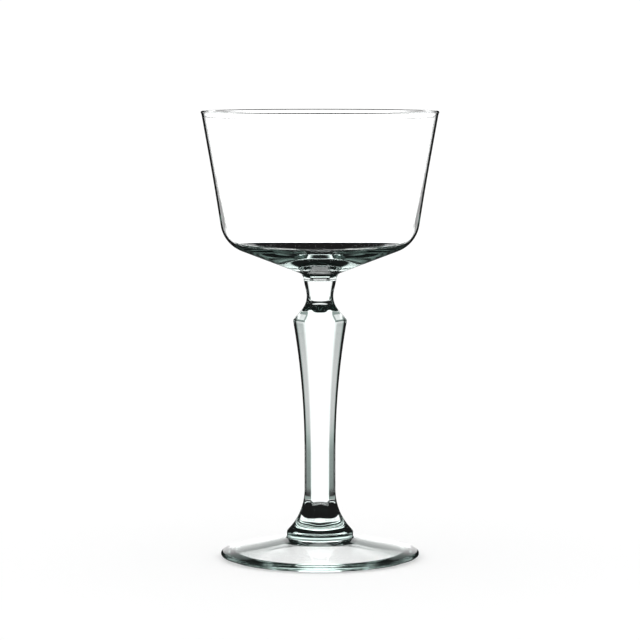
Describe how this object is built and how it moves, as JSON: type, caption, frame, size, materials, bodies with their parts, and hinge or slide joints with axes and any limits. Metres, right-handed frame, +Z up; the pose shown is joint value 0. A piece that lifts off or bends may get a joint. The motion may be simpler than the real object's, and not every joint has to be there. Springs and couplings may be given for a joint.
{
  "type": "fizz glass",
  "caption": "Clear stemmed drinking glass with a tapered flat-sided bowl, a faceted baluster stem and a round foot, for sparkling and shaken drinks.",
  "frame": {"origin": "on the table, under the middle of the foot", "axes": "+Z up along the axis of the glass, -Y towards the facet that faces the viewer in the picture"},
  "size_m": [0.0876, 0.0876, 0.1654],
  "materials": {
    "bowl_glass": "clear, fire polished",
    "stem_glass": "clear, pressed and polished",
    "foot_glass": "clear, pressed and polished"
  },
  "bodies": {
    "root": {"bowl": "bowl_glass", "stem": "stem_glass", "foot": "foot_glass"}
  },
  "joints": []
}
